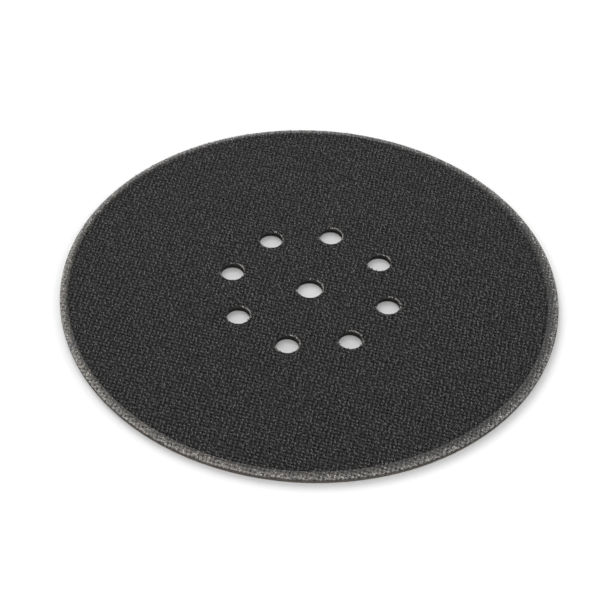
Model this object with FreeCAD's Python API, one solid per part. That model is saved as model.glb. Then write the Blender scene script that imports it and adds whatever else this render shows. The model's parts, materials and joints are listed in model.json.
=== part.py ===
"""Hook-and-loop sanding pad for a long-reach drywall sander.

A flat laminate, bonded and then die-cut and punched in one stroke: brushed loop cloth below,
an elastic carrier in the middle and woven hook cloth on top. The origin is the centre of the
lower face. +Z is the pad's axis and points out of the hook face. All sizes are millimetres.
"""

import FreeCAD, Part
import math
import os

# Outline
PAD_DIAMETER = 215.0
RIM_BAND_WIDTH = 3.3  # band where the hooks are pressed flat
CARRIER_SETBACK = 0.15  # how far the carrier's cut edge lies inside the hook cloth's
LOOP_SETBACK = 0.35  # the same for the loop cloth, which the die drags inwards

# Holes, all punched straight through the laminate
CENTRE_HOLE_DIAMETER = 11.0
DUST_HOLE_DIAMETER = 10.0
DUST_CIRCLE_DIAMETER = 70.0
DUST_HOLE_COUNT = 8
FIRST_DUST_HOLE_DEG = 0.0
PUNCH_OVERRUN = 1.0  # how far the punch passes each face

# Layer thicknesses, from the lower face up
LOOP_NAP_THICKNESS = 0.60
LOOP_GROUND_THICKNESS = 0.25
LOWER_BOND_THICKNESS = 0.10
CARRIER_THICKNESS = 0.60
UPPER_BOND_THICKNESS = 0.10
BACKCOAT_THICKNESS = 0.10
WEAVE_THICKNESS = 0.40
HOOK_HEIGHT = 0.85

# Edge shapes
NAP_EDGE_RADIUS = 0.25  # rounding of the lower outer edge, where the loops splay
SEAL_DROP = 0.15  # how far below the hook tips the pressed skin starts
SEAL_EDGE_HEIGHT = 0.12  # pressed skin above the weave at the pad's edge
SEAL_CROWN = 0.10  # how far the skin bulges above the straight line between the two

PAD_RADIUS = PAD_DIAMETER / 2
FIELD_RADIUS = PAD_RADIUS - RIM_BAND_WIDTH
CARRIER_RADIUS = PAD_RADIUS - CARRIER_SETBACK
LOOP_RADIUS = PAD_RADIUS - LOOP_SETBACK

LOOP_GROUND_BASE = LOOP_NAP_THICKNESS
LOWER_BOND_BASE = LOOP_GROUND_BASE + LOOP_GROUND_THICKNESS
CARRIER_BASE = LOWER_BOND_BASE + LOWER_BOND_THICKNESS
UPPER_BOND_BASE = CARRIER_BASE + CARRIER_THICKNESS
BACKCOAT_BASE = UPPER_BOND_BASE + UPPER_BOND_THICKNESS
WEAVE_BASE = BACKCOAT_BASE + BACKCOAT_THICKNESS
HOOK_BASE = WEAVE_BASE + WEAVE_THICKNESS
PAD_THICKNESS = HOOK_BASE + HOOK_HEIGHT

UP = FreeCAD.Vector(0, 0, 1)
ORIGIN = FreeCAD.Vector(0, 0, 0)


def ring_point(radius, height):
    """A point of a profile that is turned about the pad's axis."""
    return FreeCAD.Vector(radius, 0, height)


def turned(edges):
    """The solid that a closed profile sweeps in one full turn about the pad's axis."""
    face = Part.Face(Part.Wire(edges))
    return face.revolve(ORIGIN, UP, 360)


def flat_layer(radius, base, thickness):
    """A plain round layer of the laminate."""
    return Part.makeCylinder(radius, thickness, FreeCAD.Vector(0, 0, base), UP)


def punch(diameter, distance, angle_deg):
    """One round punch, long enough to pass both faces of the pad."""
    angle = math.radians(angle_deg)
    foot = FreeCAD.Vector(
        distance * math.cos(angle),
        distance * math.sin(angle),
        -PUNCH_OVERRUN,
    )
    return Part.makeCylinder(diameter / 2, PAD_THICKNESS + 2 * PUNCH_OVERRUN, foot, UP)


def punches():
    """The centre punch and the ring of dust punches."""
    tools = [punch(CENTRE_HOLE_DIAMETER, 0.0, 0.0)]
    for index in range(DUST_HOLE_COUNT):
        angle = FIRST_DUST_HOLE_DEG + index * 360.0 / DUST_HOLE_COUNT
        tools.append(punch(DUST_HOLE_DIAMETER, DUST_CIRCLE_DIAMETER / 2, angle))
    return tools


def punched(layer):
    """A layer with the centre hole and every dust hole through it."""
    return layer.cut(punches())


def loop_nap():
    """Brushed loop face: the layer that the pad lies on, rounded where the loops splay."""
    arc_inset = NAP_EDGE_RADIUS * (1 - math.sqrt(0.5))
    axis_foot = ring_point(0, 0)
    arc_start = ring_point(LOOP_RADIUS - NAP_EDGE_RADIUS, 0)
    arc_middle = ring_point(LOOP_RADIUS - arc_inset, arc_inset)
    arc_end = ring_point(LOOP_RADIUS, NAP_EDGE_RADIUS)
    edge_top = ring_point(LOOP_RADIUS, LOOP_NAP_THICKNESS)
    axis_top = ring_point(0, LOOP_NAP_THICKNESS)
    profile = [
        Part.makeLine(axis_foot, arc_start),
        Part.Arc(arc_start, arc_middle, arc_end).toShape(),
        Part.makeLine(arc_end, edge_top),
        Part.makeLine(edge_top, axis_top),
        Part.makeLine(axis_top, axis_foot),
    ]
    return punched(turned(profile))


def loop_ground():
    """Knitted ground that holds the loops."""
    return punched(flat_layer(LOOP_RADIUS, LOOP_GROUND_BASE, LOOP_GROUND_THICKNESS))


def lower_bond_film():
    """Hot-melt film between the loop cloth and the carrier."""
    return punched(flat_layer(CARRIER_RADIUS, LOWER_BOND_BASE, LOWER_BOND_THICKNESS))


def carrier_disc():
    """Dense elastic core that gives the pad its body."""
    return punched(flat_layer(CARRIER_RADIUS, CARRIER_BASE, CARRIER_THICKNESS))


def upper_bond_film():
    """Hot-melt film between the carrier and the hook cloth."""
    return punched(flat_layer(CARRIER_RADIUS, UPPER_BOND_BASE, UPPER_BOND_THICKNESS))


def resin_backcoat():
    """Resin back-coat that locks the hooks' legs in the weave."""
    return punched(flat_layer(PAD_RADIUS, BACKCOAT_BASE, BACKCOAT_THICKNESS))


def ground_weave():
    """Woven ground cloth of the hook face, out to the pad's edge."""
    return punched(flat_layer(PAD_RADIUS, WEAVE_BASE, WEAVE_THICKNESS))


def hook_pile():
    """The space that the standing hooks fill, from the weave to their tips."""
    return punched(flat_layer(FIELD_RADIUS, HOOK_BASE, HOOK_HEIGHT))


def sealed_rim():
    """Ring of hooks pressed into a skin that falls away to the pad's edge."""
    inner_foot = ring_point(FIELD_RADIUS, HOOK_BASE)
    outer_foot = ring_point(PAD_RADIUS, HOOK_BASE)
    outer_top = ring_point(PAD_RADIUS, HOOK_BASE + SEAL_EDGE_HEIGHT)
    inner_top = ring_point(FIELD_RADIUS, PAD_THICKNESS - SEAL_DROP)
    crown = (outer_top + inner_top) / 2 + FreeCAD.Vector(0, 0, SEAL_CROWN)
    profile = [
        Part.makeLine(inner_foot, outer_foot),
        Part.makeLine(outer_foot, outer_top),
        Part.Arc(outer_top, crown, inner_top).toShape(),
        Part.makeLine(inner_top, inner_foot),
    ]
    return turned(profile)


LAYERS = {
    "loop_nap": loop_nap,
    "loop_ground": loop_ground,
    "lower_bond_film": lower_bond_film,
    "carrier_disc": carrier_disc,
    "upper_bond_film": upper_bond_film,
    "resin_backcoat": resin_backcoat,
    "ground_weave": ground_weave,
    "hook_pile": hook_pile,
    "sealed_rim": sealed_rim,
}


def main():
    """Builds every layer and writes one STEP file for each."""
    os.makedirs("parts", exist_ok=True)
    for node, build in LAYERS.items():
        shape = build()
        shape.exportStep(f"parts/{node}.step")
        print(f"{node}: {len(shape.Solids)} solid, {shape.Volume:.1f} mm3, valid {shape.isValid()}")


main()
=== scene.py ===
"""Looks of a hook-and-loop sanding pad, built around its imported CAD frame.

The pad is a laminate. From the floor up it has a brushed loop cloth, an elastic carrier and a
woven hook cloth whose edge was pressed flat by the hot die that cut it out. Lengths are metres
in the frame's own axes: +Z is the pad's axis and points out of the hook face.
"""

import json
import logging
import math
from dataclasses import dataclass
from enum import Enum
from typing import Callable

import bpy
import numpy as np
from mathutils import Matrix, Vector, geometry, noise


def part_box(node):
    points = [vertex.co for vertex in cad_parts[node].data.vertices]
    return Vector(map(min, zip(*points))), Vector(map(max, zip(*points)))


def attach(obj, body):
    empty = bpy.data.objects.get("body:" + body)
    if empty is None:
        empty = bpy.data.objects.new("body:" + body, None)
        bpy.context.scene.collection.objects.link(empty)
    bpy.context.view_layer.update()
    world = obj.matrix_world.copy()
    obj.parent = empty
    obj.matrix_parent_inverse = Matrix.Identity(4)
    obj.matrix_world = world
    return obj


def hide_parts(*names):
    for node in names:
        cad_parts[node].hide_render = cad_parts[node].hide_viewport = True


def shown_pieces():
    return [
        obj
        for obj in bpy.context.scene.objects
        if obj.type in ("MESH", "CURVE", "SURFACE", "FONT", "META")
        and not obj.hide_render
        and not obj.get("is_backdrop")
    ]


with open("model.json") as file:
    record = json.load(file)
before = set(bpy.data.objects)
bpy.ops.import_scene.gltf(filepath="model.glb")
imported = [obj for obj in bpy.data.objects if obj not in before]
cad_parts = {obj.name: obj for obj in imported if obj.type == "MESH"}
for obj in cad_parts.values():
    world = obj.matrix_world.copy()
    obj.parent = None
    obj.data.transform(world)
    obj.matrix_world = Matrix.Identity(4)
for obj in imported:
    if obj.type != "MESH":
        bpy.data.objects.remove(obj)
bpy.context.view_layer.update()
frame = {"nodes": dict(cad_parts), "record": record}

MM = 0.001
MAP_NAME = "OFBake"  # the name the export looks for when a piece brings its own map
PAD_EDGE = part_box("carrier_disc")[1].x
SHADE_FADE_BAND = (PAD_EDGE - 1.5 * MM, PAD_EDGE - 0.5 * MM)  # between these radii the painted shade on the layers' walls gives way to their full colour at the pad's edge

Colour = tuple[float, float, float]
Triple = tuple[float, float, float]
Socket = bpy.types.NodeSocket
Height = Callable[[float, float], float]

log = logging.getLogger("sanding_pad")


# ---------------------------------------------------------------------------------------------
# The pad's plan, read from the frame
# ---------------------------------------------------------------------------------------------


@dataclass(frozen=True)
class Punch:
    """One round hole through the pad."""

    x: float
    y: float
    radius: float


@dataclass(frozen=True)
class Level:
    """The lower and upper height of one layer, and its outer radius."""

    low: float
    high: float
    radius: float

    @classmethod
    def of(cls, node: str) -> "Level":
        """The level of one CAD node."""
        low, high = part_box(node)
        return cls(low.z, high.z, high.x)

    @property
    def thickness(self) -> float:
        """The layer's thickness."""
        return self.high - self.low


@dataclass(frozen=True)
class PadPlan:
    """Radii, levels and holes that every sub-assembly is built from."""

    nap: Level
    knit: Level
    carrier: Level
    weave: Level
    hooks: Level
    rim: Level
    punches: tuple[Punch, ...]

    @classmethod
    def from_frame(cls, record: dict) -> "PadPlan":
        """Reads the plan from the CAD nodes and the record's mounts and openings.

        Args:
            record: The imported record.

        Returns:
            The pad's plan.
        """
        mounts = {mount["name"]: mount["dims"] for mount in record["mounts"]}
        punches = [Punch(0.0, 0.0, mounts["centre_hole"]["r_mm"] * MM)]
        for opening in record["physics"]["openings"]:
            low, high = opening["box_m"]
            middle = [(a + b) / 2 for a, b in zip(low, high)]
            punches.append(Punch(middle[0], middle[1], mounts["dust_holes"]["hole_r_mm"] * MM))
        return cls(
            nap=Level.of("loop_nap"),
            knit=Level.of("loop_ground"),
            carrier=Level.of("carrier_disc"),
            weave=Level.of("ground_weave"),
            hooks=Level.of("hook_pile"),
            rim=Level.of("sealed_rim"),
            punches=tuple(punches),
        )


@dataclass(frozen=True)
class Lattice:
    """A cloth's repeat: a slightly skewed grid of cells, one float of weft and warp to each."""

    weft_pitch: float
    warp_pitch: float
    weft_heading: float
    warp_heading: float

    @property
    def steps(self) -> np.ndarray:
        """One step along the weft and one along the warp.

        Returns:
            The two steps, as the rows of a matrix.
        """
        weft, warp = math.radians(self.weft_heading), math.radians(self.warp_heading)
        return np.array(
            [
                [self.weft_pitch * math.cos(weft), self.weft_pitch * math.sin(weft)],
                [self.warp_pitch * math.cos(warp), self.warp_pitch * math.sin(warp)],
            ]
        )

    @property
    def waves(self) -> np.ndarray:
        """The two wave vectors of the repeat in cycles per metre, as the rows of a matrix."""
        return np.linalg.inv(self.steps).T

    def phase(self, x: float, y: float) -> tuple[float, float]:
        """How many cells a place lies along the weft and along the warp."""
        along = self.waves @ (x, y)
        return float(along[0]), float(along[1])

    def crown(self, x: float, y: float) -> float:
        """The cloth's swell, from -1 between the yarns to 1 where they cross."""
        u, v = self.phase(x, y)
        return (math.cos(math.tau * u) + math.cos(math.tau * v)) / 2

    def points(self, reach: float, share: int) -> np.ndarray:
        """Grid points within a square reach of the origin.

        Args:
            reach: Half the side of the square to cover.
            share: How many points a cell has each way.

        Returns:
            The points, one per row.
        """
        count = int(share * 1.2 * reach / min(self.weft_pitch, self.warp_pitch))
        steps = np.arange(-count, count + 1) / share
        u, v = np.meshgrid(steps, steps)
        return np.stack([u.ravel(), v.ravel()], axis=1) @ self.steps


HOOK_LATTICE = Lattice(1.69 * MM, 1.731 * MM, -0.76, 94.34)
KNIT_LATTICE = Lattice(1.25 * MM, 1.40 * MM, 3.0, 93.0)
TUFT_LATTICE = Lattice(0.9 * MM, 0.9 * MM, 20.0, 110.0)


@dataclass(frozen=True)
class Lumps:
    """The soft unevenness of a pressed, fused or brushed surface."""

    scale: float  # lumps per metre
    share: float = 1.0
    plane: float = 0.0

    def at(self, x: float, y: float) -> float:
        """The lift at a place, from minus the share to the share."""
        return self.share * noise.noise(Vector((x, y, self.plane)) * self.scale)


RIM_LUMPS = (Lumps(2200.0, 0.7), Lumps(320.0, 0.8, 5.0))
BED_LUMPS = (Lumps(1300.0), Lumps(420.0, 0.6))
LIP_LUMPS = 1500.0  # per metre


# ---------------------------------------------------------------------------------------------
# Node trees
# ---------------------------------------------------------------------------------------------


class Wiring:
    """Adds and links the nodes of one tree."""

    def __init__(self, tree: bpy.types.NodeTree) -> None:
        """Works on the given tree."""
        self.tree = tree

    def feed(self, socket: Socket, value: object) -> None:
        """Links a socket to an output, or gives it a value.

        Args:
            socket: The input socket.
            value: The output that it is linked to, or its own value.
        """
        if isinstance(value, bpy.types.NodeSocket):
            self.tree.links.new(value, socket)
        else:
            socket.default_value = value

    def add(self, kind: str, inputs: dict | None = None, **settings: object) -> bpy.types.Node:
        """Adds a node.

        Args:
            kind: Blender's name of the node's type.
            inputs: A value or an output socket for each input, by its name or number.
            settings: The node's own properties.

        Returns:
            The new node.
        """
        node = self.tree.nodes.new(kind)
        for name, value in settings.items():
            setattr(node, name, value)
        for key, value in (inputs or {}).items():
            if isinstance(key, str):
                found = next(s for s in node.inputs if s.name == key and s.enabled)
            else:
                found = node.inputs[key]
            self.feed(found, value)
        return node

    def out(self, kind: str, output: str, inputs: dict | None = None, **settings: object) -> Socket:
        """Adds a node and returns its output of that name."""
        node = self.add(kind, inputs, **settings)
        return next(s for s in node.outputs if s.name == output and s.enabled)

    def math(self, operation: str, *values: object) -> Socket:
        """Adds a Math node and returns its result."""
        return self.out("ShaderNodeMath", "Value", dict(enumerate(values)), operation=operation)

    def vector(self, operation: str, *values: object, output: str = "Vector") -> Socket:
        """Adds a Vector Math node and returns its result."""
        inputs = dict(enumerate(values))
        return self.out("ShaderNodeVectorMath", output, inputs, operation=operation)

    def xyz(self, x: object, y: object, z: object = 0.0) -> Socket:
        """Adds a Combine XYZ node and returns its vector."""
        return self.out("ShaderNodeCombineXYZ", "Vector", {"X": x, "Y": y, "Z": z})

    def parts(self, vector: Socket) -> tuple[Socket, Socket, Socket]:
        """Adds a Separate XYZ node and returns its three outputs."""
        node = self.add("ShaderNodeSeparateXYZ", {"Vector": vector})
        return node.outputs["X"], node.outputs["Y"], node.outputs["Z"]

    def span(self, value: Socket, *limits: object) -> Socket:
        """Adds a clamped Map Range node.

        Args:
            value: The value to map.
            limits: From-low, from-high, to-low and to-high.

        Returns:
            The mapped value.
        """
        names = ("From Min", "From Max", "To Min", "To Max")
        inputs = {"Value": value, **dict(zip(names, limits))}
        return self.out("ShaderNodeMapRange", "Result", inputs, clamp=True)

    def mix(self, share: object, first: Socket, second: Socket) -> Socket:
        """Mixes two numbers."""
        inputs = {"Factor": share, "A": first, "B": second}
        return self.out("ShaderNodeMix", "Result", inputs, data_type="FLOAT")

    def noise(self, place: Socket, scale: object, **more: float) -> Socket:
        """Adds a Noise Texture and returns its value."""
        return self.out("ShaderNodeTexNoise", "Fac", {"Vector": place, "Scale": scale, **more})


class GeometryRecipe(Wiring):
    """A Geometry Nodes tree with named inputs that grows one mesh for each piece."""

    def __init__(self, title: str) -> None:
        """Starts an empty recipe with a geometry input and output.

        Args:
            title: The tree's name.
        """
        super().__init__(bpy.data.node_groups.new(title, "GeometryNodeTree"))
        self.identifiers: dict[str, str] = {}
        self.entry = self.add("NodeGroupInput")
        self.source = self.knob("Geometry", "NodeSocketGeometry")
        self.tree.interface.new_socket(
            name="Geometry", in_out="OUTPUT", socket_type="NodeSocketGeometry"
        )
        self.seed = self.knob("Seed", "NodeSocketInt")

    def knob(self, name: str, kind: str = "NodeSocketFloat") -> Socket:
        """Adds a named input.

        Args:
            name: The input's name.
            kind: Blender's socket type.

        Returns:
            The socket that carries the input into the tree.
        """
        item = self.tree.interface.new_socket(name=name, in_out="INPUT", socket_type=kind)
        self.identifiers[name] = item.identifier
        return self.entry.outputs[name]

    def store(self, shape: Socket, name: str, value: Socket, **settings: object) -> Socket:
        """Stores a named attribute and returns the geometry that carries it."""
        inputs = {"Geometry": shape, "Name": name, "Value": value}
        return self.out("GeometryNodeStoreNamedAttribute", "Geometry", inputs, **settings)

    def stored(self, name: str, kind: str = "FLOAT") -> Socket:
        """Reads a named attribute."""
        inputs = {"Name": name}
        return self.out("GeometryNodeInputNamedAttribute", "Attribute", inputs, data_type=kind)

    def forget(self, shape: Socket, *names: str) -> Socket:
        """Removes named attributes.

        Args:
            shape: The geometry that carries them.
            names: The attributes' names.

        Returns:
            The geometry without them.
        """
        for name in names:
            inputs = {"Geometry": shape, "Name": name}
            shape = self.out("GeometryNodeRemoveAttribute", "Geometry", inputs)
        return shape

    def chance(self, low: object, high: object, kind: str, code: object = None) -> Socket:
        """Adds a random value between two others.

        Args:
            low: The least value.
            high: The greatest value.
            kind: Blender's data type.
            code: A number; points that have the same one share their value.

        Returns:
            The value.
        """
        inputs = {"Min": low, "Max": high, "Seed": self.seed}
        if code is not None:
            inputs["ID"] = code
        return self.out("FunctionNodeRandomValue", "Value", inputs, data_type=kind)

    def compare(self, first: Socket, operation: str, second: Socket) -> Socket:
        """Compares two numbers."""
        return self.out("FunctionNodeCompare", "Result", {"A": first, "B": second}, operation=operation)

    def either(self, first: Socket, second: Socket) -> Socket:
        """True where one or both of two flags are."""
        return self.out("FunctionNodeBooleanMath", "Boolean", {0: first, 1: second}, operation="OR")

    def close(self, shape: Socket) -> None:
        """Dresses the realised geometry in the Finish input and ends the tree.

        Args:
            shape: The realised geometry.
        """
        finish = self.knob("Finish", "NodeSocketMaterial")
        dressed = self.out("GeometryNodeSetMaterial", "Geometry", {"Geometry": shape, "Material": finish})
        self.add("NodeGroupOutput", {"Geometry": dressed})

    def grow(self, title: str, base: bpy.types.Mesh, values: dict[str, object]) -> bpy.types.Object:
        """Grows a plain mesh from a base mesh.

        Args:
            title: The piece's name.
            base: The mesh that the tree starts from.
            values: A value for each named input.

        Returns:
            The piece, with no modifier left on it.
        """
        piece = bpy.data.objects.new(title, base)
        bpy.context.scene.collection.objects.link(piece)
        modifier = piece.modifiers.new("growth", "NODES")
        modifier.node_group = self.tree
        for name, value in values.items():
            modifier[self.identifiers[name]] = value
        depsgraph = bpy.context.evaluated_depsgraph_get()
        grown = bpy.data.meshes.new_from_object(
            piece.evaluated_get(depsgraph), preserve_all_data_layers=True, depsgraph=depsgraph
        )
        piece.modifiers.remove(modifier)
        piece.data = grown
        grown.name = title
        return piece


class StrandForm(Enum):
    """How a strand of the pile is bent."""

    HOOK = "hook"
    PRESSED = "pressed"
    LOOP = "loop"


@dataclass(frozen=True)
class StrandShape:
    """A strand's cubic curve in its own X-Z plane, as shares of the pile's height."""

    root: Triple
    rise: Triple
    fall: Triple
    tip: Triple

    def scaled(self, height: float) -> dict[str, Triple]:
        """The curve's four points for a pile of that height, by input name."""
        points = {"Root": self.root, "Rise": self.rise, "Fall": self.fall, "Tip": self.tip}
        return {name: tuple(height * value for value in point) for name, point in points.items()}


STRAND_SHAPES = {
    StrandForm.HOOK: StrandShape((0, 0, -0.08), (-0.10, 0, 1.02), (0.68, 0, 1.16), (0.50, 0, 0.40)),
    StrandForm.PRESSED: StrandShape((0, 0, -0.2), (0.4, 0, 1.2), (2.75, 0, 1.0), (4.1, 0, 0.0)),
    StrandForm.LOOP: StrandShape(
        (-0.55, 0, 0.15), (-0.6, 0.4, -1.15), (0.6, -0.4, -1.15), (0.55, 0, 0.15)
    ),
}


class PileRecipe(GeometryRecipe):
    """Rows of bent strands on a cloth's own grid, kept clear of the punched holes."""

    TONE_WIDTH = 0.004  # width of one strand's column on its map
    TIP_HEIGHT = 0.012  # how far a strand's end spreads along its column
    ACROSS_MAP = (0.02, 0.98)  # where the darkest and the palest strand lie on the map
    UP_MAP = (0.03, 0.97)  # where a strand's root and its tip lie on the map
    ROW_CODE = 4096.0  # more than the pairs of a row, so that no two pairs share a code
    STRAY_SCALE = 450.0  # how fast the field's edge strays, per metre
    CLOUD = (0.32, 0.68)  # the noise values between which a patch goes from dark to pale
    TONE = (0.08, 0.62)  # the mixed chances between which a strand goes from dark to pale

    def __init__(self) -> None:
        """Builds the whole tree."""
        super().__init__("strand_pile")
        places = self.set_out()
        strand = self.bend_strand()
        pile = self.plant(places, strand)
        self.close(self.map_strands(pile))

    def set_out(self) -> Socket:
        """Sets out the roots of the strands, row by row, and drops those outside the cloth.

        Returns:
            The roots that are left, each at its place.
        """
        rows, first = self.knob("Rows", "NodeSocketInt"), self.knob("First Row", "NodeSocketInt")
        count = self.knob("Strands per Row", "NodeSocketInt")
        last_row, last_strand = self.math("SUBTRACT", rows, 1.0), self.math("SUBTRACT", count, 1.0)
        grid = self.out(
            "GeometryNodeMeshGrid",
            "Mesh",
            {"Size X": last_row, "Size Y": last_strand, "Vertices X": rows, "Vertices Y": count},
        )
        column, place, _ = self.parts(self.out("GeometryNodeInputPosition", "Position"))
        row = self.math("ADD", column, self.math("ADD", first, self.math("MULTIPLY", last_row, 0.5)))
        number = self.math("ROUND", place)
        side = self.math("FLOORED_MODULO", number, 2.0)
        pair_number = self.math("FLOOR", self.math("MULTIPLY", number, 0.5))
        pair_code = self.math("MULTIPLY_ADD", self.math("ROUND", row), self.ROW_CODE, pair_number)
        repeat = self.knob("Repeat")
        slip = self.math("FLOORED_MODULO", self.math("MULTIPLY", row, self.knob("Row Slip")), repeat)
        along = self.math("MULTIPLY_ADD", pair_number, repeat, slip)
        along = self.math("ADD", along, self.math("MULTIPLY", side, self.knob("Pair Gap")))
        across = self.math("MULTIPLY", row, self.knob("Row Pitch"))
        self.heading = self.knob("Row Heading")
        turned = self.out(
            "ShaderNodeVectorRotate",
            "Vector",
            {"Vector": self.xyz(along, across), "Angle": self.heading},
            rotation_type="Z_AXIS",
        )
        flat = self.vector("ADD", turned, self.stray(self.knob("Wander")))
        flat = self.vector("ADD", flat, self.stray(self.knob("Pair Wander"), pair_code))
        grid = self.store(grid, "facing", side, data_type="FLOAT", domain="POINT")
        grid = self.store(grid, "tone", self.tone(pair_code), data_type="FLOAT", domain="POINT")
        grid = self.out("GeometryNodeSetPosition", "Geometry", {"Geometry": grid, "Position": flat})
        return self.trim(grid)

    def stray(self, reach: Socket, code: object = None) -> Socket:
        """A flat random step of at most the given reach each way."""
        back = self.math("MULTIPLY", reach, -1.0)
        return self.chance(self.xyz(back, back), self.xyz(reach, reach), "FLOAT_VECTOR", code)

    def trim(self, grid: Socket) -> Socket:
        """Drops the roots that are outside the band or over a hole, and lifts the rest.

        Args:
            grid: All the roots, laid out flat.

        Returns:
            The roots that are left.
        """
        here = self.out("GeometryNodeInputPosition", "Position")
        centre = self.knob("Band Centre", "NodeSocketVector")
        radius = self.vector("DISTANCE", here, centre, output="Value")
        uneven = self.math("SUBTRACT", self.noise(here, self.STRAY_SCALE), 0.5)
        radius = self.math("MULTIPLY_ADD", uneven, self.knob("Edge Stray"), radius)
        inner, outer = self.knob("Inner Radius"), self.knob("Outer Radius")
        near = self.out(
            "GeometryNodeProximity", "Distance", {"Geometry": self.source}, target_element="FACES"
        )
        outside = self.compare(radius, "GREATER_THAN", outer)
        inside = self.compare(radius, "LESS_THAN", inner)
        over = self.compare(near, "LESS_THAN", self.knob("Hole Gap"))
        off = self.either(self.either(outside, inside), over)
        kept = self.out(
            "GeometryNodeDeleteGeometry", "Geometry", {"Geometry": grid, "Selection": off}, domain="POINT"
        )
        seat = self.span(radius, inner, outer, self.knob("Inner Seat"), self.knob("Outer Seat"))
        lift = self.xyz(0.0, 0.0, seat)
        return self.out("GeometryNodeSetPosition", "Geometry", {"Geometry": kept, "Offset": lift})

    def tone(self, pair_code: Socket) -> Socket:
        """Each strand's own shade, from 0 to 1: by chance, by its pair, and by cloudy patches.

        Args:
            pair_code: A number that the two strands of a pair share.

        Returns:
            The shade.
        """
        here = self.out("GeometryNodeInputPosition", "Position")
        own = self.chance(0.0, 1.0, "FLOAT")
        pair = self.chance(0.0, 1.0, "FLOAT", pair_code)
        cloud = self.noise(here, self.knob("Patch Scale"), Detail=3.0, Roughness=0.6)
        patch = self.span(cloud, *self.CLOUD, 0.0, 1.0)
        mixed = self.mix(self.knob("Pair Share"), own, pair)
        mixed = self.mix(self.knob("Patch Share"), mixed, patch)
        return self.span(mixed, *self.TONE, 0.0, 1.0)

    def bend_strand(self) -> Socket:
        """One strand as a tube along its curve.

        Returns:
            The tube, marked with the way along it and the corners of its ring.
        """
        ends = {"Resolution": self.knob("Bends", "NodeSocketInt")}
        sockets = {"Root": "Start", "Rise": "Start Handle", "Fall": "End Handle", "Tip": "End"}
        for name, input_name in sockets.items():
            ends[input_name] = self.knob(name, "NodeSocketVector")
        curve = self.out("GeometryNodeCurvePrimitiveBezierSegment", "Curve", ends, mode="POSITION")
        share = self.out("GeometryNodeSplineParameter", "Factor")
        curve = self.store(curve, "along", share, data_type="FLOAT", domain="POINT")
        radius = self.knob("Strand Radius")
        ring = self.out(
            "GeometryNodeCurvePrimitiveCircle", "Curve", {"Resolution": 4, "Radius": radius}, mode="RADIUS"
        )
        corner = self.out("GeometryNodeInputPosition", "Position")
        corner = self.vector("DIVIDE", corner, self.xyz(radius, radius, radius))
        ring = self.store(ring, "corner", corner, data_type="FLOAT_VECTOR", domain="POINT")
        tube = self.out(
            "GeometryNodeCurveToMesh", "Mesh", {"Curve": curve, "Profile Curve": ring, "Fill Caps": True}
        )
        return self.out("GeometryNodeSetShadeSmooth", "Geometry", {"Geometry": tube, "Shade Smooth": True})

    def plant(self, places: Socket, strand: Socket) -> Socket:
        """Stands a strand on each root, turned, leant and sized a little by chance.

        Args:
            places: The roots.
            strand: One strand.

        Returns:
            The realised pile.
        """
        side = self.math("MULTIPLY", self.stored("facing"), math.pi)
        heading = self.math("ADD", self.heading, side)
        lean, yaw = self.knob("Lean"), self.knob("Yaw")
        sway = self.xyz(lean, lean, yaw)
        swing = self.chance(self.vector("MULTIPLY", sway, (-1.0, -1.0, -1.0)), sway, "FLOAT_VECTOR")
        turn = self.vector("ADD", swing, self.xyz(0.0, 0.0, heading))
        size = self.chance(self.knob("Least Size"), 1.0, "FLOAT")
        pile = self.out(
            "GeometryNodeInstanceOnPoints",
            "Instances",
            {"Points": places, "Instance": strand, "Rotation": turn, "Scale": self.xyz(size, size, size)},
        )
        return self.out("GeometryNodeRealizeInstances", "Geometry", {"Geometry": pile})

    def map_strands(self, pile: Socket) -> Socket:
        """Gives the pile its map: a strand's shade across, and the way along it up.

        Args:
            pile: The realised pile.

        Returns:
            The pile with its map and without its marks.
        """
        ring_x, ring_y, _ = self.parts(self.stored("corner", "FLOAT_VECTOR"))
        column = self.span(self.stored("tone"), 0.0, 1.0, *self.ACROSS_MAP)
        column = self.math("MULTIPLY_ADD", ring_x, self.TONE_WIDTH, column)
        up = self.span(self.stored("along"), 0.0, 1.0, *self.UP_MAP)
        up = self.math("MULTIPLY_ADD", ring_y, self.TIP_HEIGHT, up)
        mapped = self.store(pile, MAP_NAME, self.xyz(column, up), data_type="FLOAT2", domain="CORNER")
        return self.forget(mapped, "tone", "along", "corner", "facing")


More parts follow.
